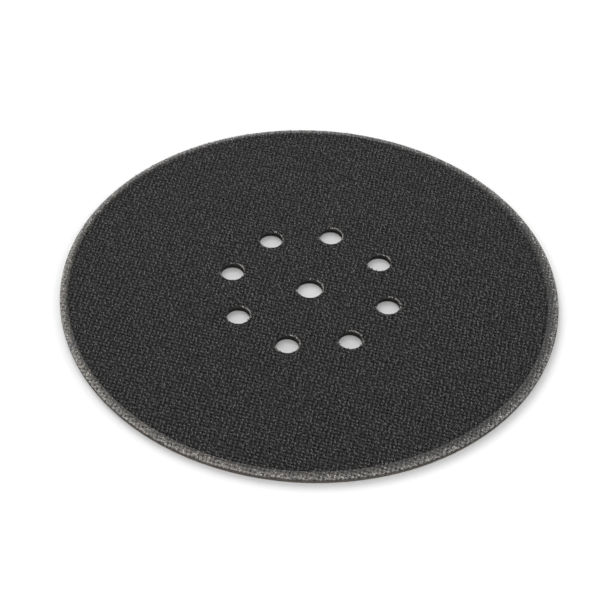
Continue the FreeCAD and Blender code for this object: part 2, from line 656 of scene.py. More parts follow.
class EndsRecipe(GeometryRecipe):
    """Fused yarn ends, one on each marked point of a cut edge."""

    LEAST_SHARES = (0.45, 0.55, 0.55)  # the smallest bead's sides, as shares of the largest
    BEAD_WIDTH = 0.03  # width of one bead's column on its map
    BEAD_HEIGHT = 0.1  # how far a bead's height spreads along its column
    ACROSS_MAP = (0.05, 0.95)  # where the darkest and the palest bead lie on the map
    UP_MAP = (0.12, 0.88)  # where a bead's inner and outer end lie on the map

    def __init__(self) -> None:
        """Builds the whole tree."""
        super().__init__("fused_ends")
        bead = self.out("GeometryNodeMeshUVSphere", "Mesh", {"Segments": 6, "Rings": 4, "Radius": 1.0})
        spot = self.out("GeometryNodeInputPosition", "Position")
        bead = self.store(bead, "spot", spot, data_type="FLOAT_VECTOR", domain="POINT")
        bead = self.out("GeometryNodeSetShadeSmooth", "Geometry", {"Geometry": bead, "Shade Smooth": True})
        tone = self.chance(0.0, 1.0, "FLOAT")
        marks = self.store(self.source, "tone", tone, data_type="FLOAT", domain="POINT")
        facing = self.out(
            "FunctionNodeAlignRotationToVector",
            "Rotation",
            {"Vector": self.stored("outward", "FLOAT_VECTOR")},
            axis="X",
        )
        size = self.knob("Bead Size", "NodeSocketVector")
        least = self.vector("MULTIPLY", size, self.LEAST_SHARES)
        sized = self.chance(least, size, "FLOAT_VECTOR")
        beads = self.out(
            "GeometryNodeInstanceOnPoints",
            "Instances",
            {"Points": marks, "Instance": bead, "Rotation": facing, "Scale": sized},
        )
        beads = self.out("GeometryNodeRealizeInstances", "Geometry", {"Geometry": beads})
        x, y, z = self.parts(self.stored("spot", "FLOAT_VECTOR"))
        column = self.span(self.stored("tone"), 0.0, 1.0, *self.ACROSS_MAP)
        column = self.math("MULTIPLY_ADD", y, self.BEAD_WIDTH, column)
        up = self.math("MULTIPLY_ADD", z, self.BEAD_HEIGHT, self.span(x, -1.0, 1.0, *self.UP_MAP))
        beads = self.store(beads, MAP_NAME, self.xyz(column, up), data_type="FLOAT2", domain="CORNER")
        self.close(self.forget(beads, "tone", "spot", "outward"))


# ---------------------------------------------------------------------------------------------
# Finishes
# ---------------------------------------------------------------------------------------------


class EffectGroup(Wiring):
    """A shader node group with named inputs and outputs."""

    def __init__(self, title: str, inputs: dict[str, str], outputs: dict[str, str]) -> None:
        """Makes the group's sockets.

        Args:
            title: The group's name.
            inputs: Blender's socket type for each input's name.
            outputs: Blender's socket type for each output's name.
        """
        super().__init__(bpy.data.node_groups.new(title, "ShaderNodeTree"))
        for direction, sockets in (("INPUT", inputs), ("OUTPUT", outputs)):
            for name, kind in sockets.items():
                self.tree.interface.new_socket(name=name, in_out=direction, socket_type=kind)
        self.given = self.add("NodeGroupInput").outputs
        self.made = self.add("NodeGroupOutput").inputs


TWIST_TURNS = 5.0  # turns of twist along one cell of the cloth
FIBRE_NOISE = (0.3, 0.7)  # the noise values between which a fibre goes from dark to pale
SPECK_NOISE = (0.45, 0.75)  # the noise values between which a speck begins and is full
PATCH_NOISE = (0.35, 0.7)  # the same for the patches that specks gather in
PATCH_SIZE = 0.06  # the patches' scale, as a share of the specks'
LEAST_PATCH = 0.3  # the share of the specks that lie outside the patches


def woven_yarns() -> bpy.types.NodeTree:
    """The swell of crossing yarns and the fine twist along them.

    Returns:
        The group, which puts out the swell and the twist.
    """
    group = EffectGroup(
        "woven_yarns",
        {"Vector": "NodeSocketVector", "Weft Wave": "NodeSocketVector", "Warp Wave": "NodeSocketVector"},
        {"Crown": "NodeSocketFloat", "Twist": "NodeSocketFloat"},
    )
    swells = []
    turns = []
    for name in ("Weft Wave", "Warp Wave"):
        cells = group.vector("DOT_PRODUCT", group.given["Vector"], group.given[name], output="Value")
        swells.append(group.math("COSINE", group.math("MULTIPLY", cells, math.tau)))
        turns.append(group.math("MULTIPLY", cells, TWIST_TURNS * math.tau))
    total = group.math("ADD", *swells)
    group.feed(group.made["Crown"], group.math("MULTIPLY_ADD", total, 0.25, 0.5))
    twist = group.math("SINE", group.math("ADD", *turns))
    group.feed(group.made["Twist"], group.math("MULTIPLY_ADD", twist, 0.5, 0.5))
    return group.tree


def settled_lint() -> bpy.types.NodeTree:
    """Specks of lint and dust gathered in loose patches.

    Returns:
        The group, which puts out the lint's mask.
    """
    group = EffectGroup(
        "settled_lint",
        {"Vector": "NodeSocketVector", "Speck Scale": "NodeSocketFloat", "Cover": "NodeSocketFloat"},
        {"Mask": "NodeSocketFloat"},
    )
    place, fine = group.given["Vector"], group.given["Speck Scale"]
    specks = group.span(group.noise(place, fine, Detail=3.0), *SPECK_NOISE, 0.0, 1.0)
    wide = group.math("MULTIPLY", fine, PATCH_SIZE)
    patches = group.span(group.noise(place, wide), *PATCH_NOISE, LEAST_PATCH, 1.0)
    mixed = group.math("MULTIPLY", specks, patches)
    group.feed(group.made["Mask"], group.math("MULTIPLY", mixed, group.given["Cover"]))
    return group.tree


def brushed_fibres() -> bpy.types.NodeTree:
    """Fine fibres that lie along one direction of the given coordinates.

    Returns:
        The group, which puts out the fibres' mask.
    """
    group = EffectGroup(
        "brushed_fibres",
        {"Vector": "NodeSocketVector", "Fibre Scale": "NodeSocketFloat", "Stretch": "NodeSocketVector"},
        {"Fibres": "NodeSocketFloat"},
    )
    drawn = group.vector("MULTIPLY", group.given["Vector"], group.given["Stretch"])
    fibres = group.noise(drawn, group.given["Fibre Scale"], Detail=4.0, Roughness=0.62)
    group.feed(group.made["Fibres"], group.span(fibres, *FIBRE_NOISE, 0.0, 1.0))
    return group.tree


class Effects:
    """The shader groups that more than one finish uses, each built once."""

    def __init__(self) -> None:
        """Builds the three groups."""
        self.yarns = woven_yarns()
        self.lint = settled_lint()
        self.fibres = brushed_fibres()


@dataclass(frozen=True)
class Finish:
    """A surface whose colour runs from dark to light over a pattern, with lint on top.

    The pattern of a plain finish is an even grain, and a subclass brings its own. The pattern's
    height also feeds the normal.
    """

    title: str
    slot: str
    dark: Colour
    light: Colour
    lint_colour: Colour = (0.30, 0.29, 0.27)
    lint_cover: float = 0.1
    lint_scale: float = 900.0
    roughness: tuple[float, float] = (0.75, 0.6)
    specular: float = 0.4
    sheen: float = 0.0
    relief: float = 0.05 * MM
    shaded_share: float = 1.0  # how much of the pattern shows on the walls within the pad's edge, which are darkened as painted shade
    fibre_scale: float = 1800.0
    stretch: Triple = (1.0, 1.0, 1.0)

    def place(self, wires: Wiring) -> Socket:
        """The coordinates that the finish reads."""
        return wires.out("ShaderNodeTexCoord", "Object")

    def pattern(self, wires: Wiring, effects: Effects, place: Socket) -> tuple[Socket, Socket]:
        """The colour mask and the height of the surface, both from 0 to 1."""
        fibres = self.fibres(wires, effects, place)
        return fibres, fibres

    def fibres(self, wires: Wiring, effects: Effects, place: Socket) -> Socket:
        """A mask of fine fibres."""
        inputs = {"Vector": place, "Fibre Scale": self.fibre_scale, "Stretch": self.stretch}
        return wires.out("ShaderNodeGroup", "Fibres", inputs, node_tree=effects.fibres)

    def build(self, effects: Effects) -> bpy.types.Material:
        """Makes the material.

        Args:
            effects: The shared shader groups.

        Returns:
            The material, with one Principled shader.
        """
        material = bpy.data.materials.new(self.title)
        material.use_nodes = True
        wires = Wiring(material.node_tree)
        wires.tree.nodes.clear()
        place = self.place(wires)
        mask, height = self.pattern(wires, effects, place)
        # painted shade: every wall within the pad's edge, the holes' walls too, is darkened
        if self.shaded_share < 1.0:
            mask = wires.math("MULTIPLY", mask, self.wall_shade(wires, place))
        base = self.blend(wires, mask, self.dark, self.light)
        inputs = {"Vector": place, "Speck Scale": self.lint_scale, "Cover": self.cover(wires)}
        lint = wires.out("ShaderNodeGroup", "Mask", inputs, node_tree=effects.lint)
        colour = self.blend(wires, lint, base, self.lint_colour)
        inputs = {"Height": height, "Strength": 1.0, "Distance": self.relief}
        bump = wires.out("ShaderNodeBump", "Normal", inputs)
        shader = wires.out(
            "ShaderNodeBsdfPrincipled",
            "BSDF",
            {
                "Base Color": colour,
                "Roughness": wires.span(mask, 0.0, 1.0, *self.roughness),
                "Specular IOR Level": self.specular,
                "Sheen Weight": self.sheen,
                "Sheen Roughness": 0.45,
                "Normal": bump,
            },
        )
        wires.add("ShaderNodeOutputMaterial", {"Surface": shader})
        return material

    def cover(self, wires: Wiring) -> object:
        """How much lint lies on the surface."""
        return self.lint_cover

    def wall_shade(self, wires: Wiring, place: Socket) -> Socket:
        """1 at the pad's edge, falling to the shaded share a little way in, as painted shade on the walls
        within.
        """
        reach = wires.vector("LENGTH", place, output="Value")
        return wires.span(reach, *SHADE_FADE_BAND, self.shaded_share, 1.0)

    @staticmethod
    def blend(wires: Wiring, mask: Socket, first: object, second: object) -> Socket:
        """Mixes two colours by a mask.

        Args:
            wires: The material's tree.
            mask: The share of the second colour.
            first: A colour, or the output that gives it.
            second: A colour, or the output that gives it.

        Returns:
            The mixed colour.
        """
        inputs = {"Factor": mask}
        for name, value in (("A", first), ("B", second)):
            inputs[name] = value if isinstance(value, bpy.types.NodeSocket) else (*value, 1.0)
        return wires.out("ShaderNodeMix", "Result", inputs, data_type="RGBA")


@dataclass(frozen=True)
class StrandFinish(Finish):
    """Strands that take their tone across their own map, with painted shade at their roots along it."""

    lint_scale: float = 12.0
    relief: float = 0.01 * MM
    fibre_scale: float = 30.0
    stretch: Triple = (1.0, 1.5, 1.0)
    shaded_root_share: float = 0.15  # how much of its tone a strand keeps at its root, darkened there as painted shade
    least_shade: float = 0.1  # the shade of the darkest strand
    root_shade_span: tuple[float, float] = (0.12, 0.55)  # the shares of its length over which the painted shade at its root gives way

    def place(self, wires: Wiring) -> Socket:
        """The strands' own map."""
        return wires.out("ShaderNodeUVMap", "UV", uv_map=MAP_NAME)

    def pattern(self, wires: Wiring, effects: Effects, place: Socket) -> tuple[Socket, Socket]:
        """Tone by strand, with painted shade at the root that gives way towards the bend, and fine lines
        drawn along the strand.

        Args:
            wires: The material's tree.
            effects: The shared shader groups.
            place: The coordinates that the finish reads.

        Returns:
            The colour mask and the height, both from 0 to 1.
        """
        across, along, _ = wires.parts(place)
        # painted shade: each strand is darkest at its root and reaches its full tone towards the bend
        lit_share = wires.span(along, *self.root_shade_span, self.shaded_root_share, 1.0)
        shade = wires.span(across, 0.0, 1.0, self.least_shade, 1.0)
        mask = wires.math("MULTIPLY", shade, lit_share)
        return mask, self.fibres(wires, effects, place)


@dataclass(frozen=True)
class WovenFinish(Finish):
    """Cloth whose colour and height follow its crossing yarns; the colour is a painted highlight on the
    yarns' crowns and painted shade between them.
    """

    fibre_scale: float = 2200.0
    lattice: Lattice = HOOK_LATTICE
    twist_share: float = 0.3
    highlight_from: float = 0.0  # the share of the pattern below which the cloth is at its darkest, in painted shade
    highlight_to: float = 1.0

    def pattern(self, wires: Wiring, effects: Effects, place: Socket) -> tuple[Socket, Socket]:
        """The yarns' swell, with some of their twist and fibres: painted highlights on the crowns and
        painted shade between the yarns, over real fibre grain.

        Args:
            wires: The material's tree.
            effects: The shared shader groups.
            place: The coordinates that the finish reads.

        Returns:
            The colour mask and the height, both from 0 to 1.
        """
        weft, warp = self.lattice.waves
        inputs = {"Vector": place, "Weft Wave": (*weft, 0.0), "Warp Wave": (*warp, 0.0)}
        group = wires.add("ShaderNodeGroup", inputs, node_tree=effects.yarns)
        fibres = self.fibres(wires, effects, place)
        fine = wires.math("MULTIPLY", group.outputs["Twist"], fibres)
        mixed = wires.mix(self.twist_share, group.outputs["Crown"], fine)
        return wires.span(mixed, self.highlight_from, self.highlight_to, 0.0, 1.0), mixed


@dataclass(frozen=True)
class PressedFinish(WovenFinish):
    """Fused cloth, darker inwards from its cut edge, with painted light that is strongest on one side of
    the pad.
    """

    inner_share: float = 0.10
    lint_from: float = 0.75  # the painted light's strength where lint begins to gather
    least_lint: float = 0.1  # the share of the lint that lies elsewhere

    def pattern(self, wires: Wiring, effects: Effects, place: Socket) -> tuple[Socket, Socket]:
        """The yarns' swell, fading inwards and with the strength of the painted light.

        Args:
            wires: The material's tree.
            effects: The shared shader groups.
            place: The coordinates that the finish reads.

        Returns:
            The colour mask and the height, both from 0 to 1.
        """
        mask, height = super().pattern(wires, effects, place)
        fade = wires.span(self.mark(wires, "inward"), 0.0, 1.0, 1.0, self.inner_share)
        painted_light = self.mark(wires, "painted_light")
        return wires.math("MULTIPLY", mask, wires.math("MULTIPLY", fade, painted_light)), height

    def cover(self, wires: Wiring) -> Socket:
        """Lint gathers where the painted light is strongest."""
        painted_light = self.mark(wires, "painted_light")
        return wires.span(painted_light, self.lint_from, 1.0, self.least_lint * self.lint_cover, self.lint_cover)

    @staticmethod
    def mark(wires: Wiring, name: str) -> Socket:
        """Reads a mark that the band wrote on its vertices."""
        return wires.out("ShaderNodeAttribute", "Fac", attribute_name=name)


HOOK_NYLON = StrandFinish(
    "black_hook_nylon",
    "hooks",
    dark=(0.008, 0.008, 0.008),
    light=(0.166, 0.162, 0.163),
    lint_cover=0.05,
    roughness=(0.60, 0.42),
    specular=0.13,
    # the hooks' roots are darkened as painted shade
    shaded_root_share=0.12,
    least_shade=0.10,
)
PRESSED_STRANDS = StrandFinish(
    "pressed_hook_nylon",
    "pressed_hooks",
    dark=(0.020, 0.020, 0.020),
    light=(0.170, 0.167, 0.168),
    roughness=(0.45, 0.34),
    specular=0.5,
)
PRESSED_SKIN = PressedFinish(
    "pressed_hook_skin",
    "pressed_hooks",
    dark=(0.010, 0.010, 0.010),
    light=(0.290, 0.284, 0.284),
    lint_colour=(0.40, 0.34, 0.26),
    lint_cover=0.7,
    twist_share=0.45,
    highlight_from=0.22,
    highlight_to=0.62,
    roughness=(0.60, 0.45),
    specular=0.25,
    relief=0.08 * MM,
)
PUNCHED_EDGE = PressedFinish(
    "punched_edge_skin",
    "pressed_hooks",
    dark=(0.003, 0.003, 0.003),
    light=(0.030, 0.029, 0.028),
    lint_cover=0.05,
    roughness=(0.7, 0.55),
    specular=0.15,
)
# painted highlights on the ground's yarn crowns and near-black painted shade between them
GROUND_CLOTH = WovenFinish(
    "woven_hook_ground",
    "ground_cloth",
    dark=(0.003, 0.003, 0.003),
    light=(0.066, 0.064, 0.064),
    lint_cover=0.02,
    twist_share=0.71,
    highlight_from=0.32,
    highlight_to=0.47,
    roughness=(0.85, 0.65),
    specular=0.1,
    relief=0.10 * MM,
)
CUT_ENDS = StrandFinish(
    "fused_yarn_ends",
    "pressed_hooks",
    dark=(0.04, 0.038, 0.036),
    light=(0.50, 0.48, 0.45),
    lint_cover=0.0,
    roughness=(0.6, 0.4),
    shaded_root_share=0.6,
)
RESIN_COAT = Finish(
    "resin_backcoat",
    "backcoat",
    dark=(0.006, 0.006, 0.006),
    light=(0.150, 0.135, 0.118),
    shaded_share=0.03,
    roughness=(0.65, 0.45),
    specular=0.1,
    relief=0.03 * MM,
)
BOND_FILM = Finish(
    "hot_melt_film",
    "bond_film",
    dark=(0.005, 0.005, 0.005),
    light=(0.130, 0.118, 0.104),
    shaded_share=0.03,
    roughness=(0.5, 0.35),
    specular=0.1,
    relief=0.02 * MM,
)
CARRIER_FOAM = Finish(
    "carrier_elastomer",
    "carrier",
    dark=(0.006, 0.005, 0.0045),
    light=(0.120, 0.103, 0.086),
    roughness=(0.85, 0.7),
    specular=0.1,
    shaded_share=0.03,
    relief=0.06 * MM,
)
KNIT_CLOTH = WovenFinish(
    "knit_loop_ground",
    "loop_knit",
    dark=(0.006, 0.0055, 0.005),
    light=(0.060, 0.053, 0.047),
    shaded_share=0.1,
    roughness=(0.9, 0.75),
    specular=0.1,
    sheen=0.05,
    relief=0.10 * MM,
    lattice=KNIT_LATTICE,
)
NAP_BED = Finish(
    "brushed_nap",
    "loop_nap",
    dark=(0.008, 0.007, 0.0065),
    light=(0.080, 0.070, 0.062),
    lint_cover=0.15,
    shaded_share=0.2,
    roughness=(0.95, 0.8),
    specular=0.1,
    sheen=0.1,
    relief=0.12 * MM,
    stretch=(1.0, 0.35, 1.0),
)
NAP_LOOPS = StrandFinish(
    "brushed_loops",
    "loop_nap",
    dark=(0.014, 0.013, 0.012),
    light=(0.085, 0.076, 0.070),
    roughness=(0.8, 0.6),
    specular=0.3,
    sheen=0.2,
)


class Wardrobe:
    """The pad's materials, each made the first time it is asked for."""

    def __init__(self) -> None:
        """Starts with the shared effects and no material."""
        self.effects = Effects()
        self.made: dict[str, bpy.types.Material] = {}

    def material(self, finish: Finish) -> bpy.types.Material:
        """Finds the material of a finish, or makes it.

        Args:
            finish: The finish.

        Returns:
            The material.
        """
        if finish.title not in self.made:
            self.made[finish.title] = finish.build(self.effects)
        return self.made[finish.title]

    def dress(self, piece: bpy.types.Object, finish: Finish) -> None:
        """Puts a finish on a whole piece.

        Args:
            piece: The piece.
            finish: Its finish.
        """
        piece.data.materials.clear()
        piece.data.materials.append(self.material(finish))

    def coat_node(self, node: str, finish: Finish) -> None:
        """Puts a finish on a CAD node, whose mesh stays as it is.

        Args:
            node: The CAD node's name.
            finish: Its finish.
        """
        piece = frame["nodes"][node]
        for slot in piece.material_slots:
            slot.material = self.material(finish)


# ---------------------------------------------------------------------------------------------
# Meshes
# ---------------------------------------------------------------------------------------------


@dataclass(frozen=True)
class FlatCut:
    """A punched disc laid out in triangles. The points of its cut edges come first."""

    points: np.ndarray
    triangles: np.ndarray
    edges: tuple[np.ndarray, ...]
    outward: np.ndarray


def ring(x: float, y: float, radius: float, steps: int, inner: bool) -> tuple[np.ndarray, np.ndarray]:
    """Points round one cut edge, with the material always on their left.

    Args:
        x: The circle's centre.
        y: The circle's centre.
        radius: The circle's radius.
        steps: How many points it has.
        inner: True for a hole.

    Returns:
        The points, and the unit directions out of the material.
    """
    turn = np.arange(steps) * math.tau / steps * (-1 if inner else 1)
    away = np.stack([np.cos(turn), np.sin(turn)], axis=1)
    return np.array([x, y]) + radius * away, -away if inner else away


def cut_disc(
    plan: PadPlan, radius: float, fill: np.ndarray, rim_steps: int = 1080, hole_steps: int = 72
) -> FlatCut:
    """Lays out a disc with every hole of the pad.

    Args:
        plan: The pad's plan.
        radius: The disc's radius.
        fill: Points that the disc's inside should have.
        rim_steps: Points round the disc.
        hole_steps: Points round each hole.

    Returns:
        The disc in triangles.
    """
    margin = 0.25 * MM
    loops = [ring(0.0, 0.0, radius, rim_steps, False)]
    loops += [ring(punch.x, punch.y, punch.radius, hole_steps, True) for punch in plan.punches]
    keep = np.hypot(fill[:, 0], fill[:, 1]) < radius - margin
    for punch in plan.punches:
        keep &= np.hypot(fill[:, 0] - punch.x, fill[:, 1] - punch.y) > punch.radius + margin
    edge_points = np.concatenate([points for points, _ in loops])
    starts = np.cumsum([0] + [len(points) for points, _ in loops])
    edges = [np.arange(a, b) for a, b in zip(starts, starts[1:])]
    links = np.concatenate([np.stack([edge, np.roll(edge, -1)], axis=1) for edge in edges])
    places = np.concatenate([edge_points, fill[keep]]) / MM
    points, _, faces, *_ = geometry.delaunay_2d_cdt(
        [Vector(place) for place in places], links.tolist(), [], 0, 1e-6
    )
    triangles = np.array(faces)
    loop_of = np.full(len(points), -1)
    for number, edge in enumerate(edges[1:]):
        loop_of[edge] = number
    across = loop_of[triangles]
    in_a_hole = (across[:, 0] >= 0) & (across == across[:, :1]).all(axis=1)
    outward = np.concatenate([directions for _, directions in loops])
    return FlatCut(np.array(points) * MM, triangles[~in_a_hole], tuple(edges), outward)


def shell(title: str, points: np.ndarray, faces: list, sharp_deg: float = 50.0) -> bpy.types.Object:
    """Links a smooth-shaded mesh with sharp creases.

    Args:
        title: The piece's name.
        points: The vertices, one per row.
        faces: The faces as lists of vertex numbers.
        sharp_deg: The angle from which a crease stays sharp.

    Returns:
        The new piece.
    """
    mesh = bpy.data.meshes.new(title)
    mesh.from_pydata(points.tolist(), [], faces)
    mesh.validate()
    mesh.shade_smooth()
    mesh.set_sharp_from_angle(angle=math.radians(sharp_deg))
    piece = bpy.data.objects.new(title, mesh)
    bpy.context.scene.collection.objects.link(piece)
    return piece


@dataclass(frozen=True)
class Wall:
    """The cut wall of a layer: how many rows of faces it has, and how far it strays."""

    rows: int = 3
    bulge: float = 0.03 * MM
    roughness: float = 0.02 * MM
    grain: float = 1.1 * MM

    def offset(self, place: np.ndarray, share: float) -> float:
        """How far out the wall stands.

        Args:
            place: The place on the cut edge.
            share: The share of the wall's height.

        Returns:
            The distance.
        """
        scale = 1.0 / self.grain
        stray = noise.noise(Vector((place[0] * scale, place[1] * scale, share * 3.0)))
        return self.bulge * math.sin(math.pi * share) + self.roughness * stray


def slab(
    title: str,
    top: FlatCut,
    base: FlatCut,
    top_height: Height,
    base_height: Height,
    wall: Wall,
) -> bpy.types.Object:
    """A closed layer between two surfaces that share their cut edges.

    Args:
        title: The piece's name.
        top: The upper face's triangles.
        base: The lower face's triangles.
        top_height: The upper face's height at a place.
        base_height: The lower face's height at a place.
        wall: The shape of the cut walls.

    Returns:
        The layer as a closed mesh.
    """
    upper = [(x, y, top_height(x, y)) for x, y in top.points]
    lower = [(x, y, base_height(x, y)) for x, y in base.points]
    points = upper + lower
    shift = len(upper)
    faces = top.triangles.tolist() + (base.triangles[:, ::-1] + shift).tolist()
    for edge in top.edges:
        rows = [edge + shift]
        for row in range(1, wall.rows):
            share = row / wall.rows
            rows.append(np.arange(len(points), len(points) + len(edge)))
            for corner in edge:
                low, high = lower[corner], upper[corner]
                out = wall.offset(top.points[corner], share) * top.outward[corner]
                points.append((low[0] + out[0], low[1] + out[1], low[2] + share * (high[2] - low[2])))
        rows.append(edge)
        for below, above in zip(rows, rows[1:]):
            corners = [below, np.roll(below, -1), np.roll(above, -1), above]
            faces += np.stack(corners, axis=1).tolist()
    return shell(title, np.array(points), faces)


@dataclass(frozen=True)
class Band:
    """A closed ring swept round a circle from a profile of radial offsets and heights."""

    x: float
    y: float
    radius: float
    steps: int
    profile: tuple[tuple[float, float], ...]  # anticlockwise, radial offset and height
    lively: tuple[float, ...]  # how much each profile point follows the relief
    stretch: Callable[[float], float] = lambda turn: 1.0  # widens the profile round the circle
    painted_light: Callable[[float], float] = lambda turn: 1.0  # painted light round the circle, strongest at 1

    def mesh(self, relief: Height) -> tuple[np.ndarray, list]:
        """The ring's vertices and faces.

        Args:
            relief: The lift of the surface at a place.

        Returns:
            The vertices, one per row, and the faces.
        """
        points = []
        for step in range(self.steps):
            turn = step * math.tau / self.steps
            widened = self.stretch(turn)
            for (offset, height), share in zip(self.profile, self.lively):
                reach = self.radius + offset * widened
                x, y = self.x + reach * math.cos(turn), self.y + reach * math.sin(turn)
                points.append((x, y, height + (share * relief(x, y) if share else 0.0)))
        size = len(self.profile)
        faces = []
        for step in range(self.steps):
            here, there = step * size, (step + 1) % self.steps * size
            for corner in range(size):
                after = (corner + 1) % size
                faces.append([here + corner, here + after, there + after, there + corner])
        return np.array(points), faces

    def marks(self, width: float) -> dict[str, np.ndarray]:
        """How far in each vertex lies, and how much painted light it has.

        Args:
            width: The distance that counts as fully in.

        Returns:
            A value for each vertex, by the name of the mark.
        """
        inward = [min(1.0, abs(offset) / width) for offset, _ in self.profile]
        painted_light = [self.painted_light(step * math.tau / self.steps) for step in range(self.steps)]
        return {
            "inward": np.tile(inward, self.steps),
            "painted_light": np.repeat(painted_light, len(self.profile)),
        }


def inscribe(piece: bpy.types.Object, marks: list[dict[str, np.ndarray]]) -> None:
    """Stores the joined marks of a piece's bands on its vertices.

    Args:
        piece: The piece.
        marks: The marks of each band, in the order of its vertices.
    """
    for name in marks[0]:
        stored = piece.data.attributes.new(name, "FLOAT", "POINT")
        stored.data.foreach_set("value", np.concatenate([part[name] for part in marks]))


def joined(parts: list[tuple[np.ndarray, list]]) -> tuple[np.ndarray, list]:
    """Joins several meshes.

    Args:
        parts: The vertices and the faces of each.

    Returns:
        One list of vertices and one of faces.
    """
    points, faces, shift = [], [], 0
    for part_points, part_faces in parts:
        points.append(part_points)
        faces += [[corner + shift for corner in face] for face in part_faces]
        shift += len(part_points)
    return np.concatenate(points), faces


def triangles_in(piece: bpy.types.Object) -> int:
    """How many triangles a piece has."""
    return sum(len(polygon.vertices) - 2 for polygon in piece.data.polygons)


def settle(piece: bpy.types.Object) -> bpy.types.Object:
    """Rides a finished piece on the pad's only body and reports it.

    Args:
        piece: The piece.

    Returns:
        The same piece.
    """
    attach(piece, "root")
    log.info("%s: %d triangles", piece.name, triangles_in(piece))
    return piece


@dataclass(frozen=True)
class Grower:
    """Grows pieces of one finish."""

    recipe: GeometryRecipe
    wardrobe: Wardrobe
    finish: Finish

    def piece(self, title: str, base: bpy.types.Mesh, values: dict[str, object]) -> bpy.types.Object:
        """Grows a piece and settles it.

        Args:
            title: The piece's name.
            base: The mesh that it grows from.
            values: A value for each named input but the finish.

        Returns:
            The piece.
        """
        dressed = values | {"Finish": self.wardrobe.material(self.finish)}
        piece = self.recipe.grow(title, base, dressed)
        return settle(piece)


# ---------------------------------------------------------------------------------------------
# Sub-assemblies
# ---------------------------------------------------------------------------------------------


# The lip's section: how far out, as a share of its width, how far above the weave, and how
# much of the lip's lumps it follows.
LIP_PROFILE = (
    (0.0, -0.15 * MM, 0.0),
    (1.6, -0.20 * MM, 0.2),
    (1.0, 0.05 * MM, 1.0),
    (0.55, 0.12 * MM, 1.0),
    (0.15, 0.10 * MM, 0.8),
    (-0.08, 0.0, 0.3),
)
# Fused ends are left where a hole's edge faces across the rows of hooks, by these cosines.
HOLE_END_FRONT = 0.35
HOLE_END_THINNING = 0.4
HOLE_END_BACK = -0.93


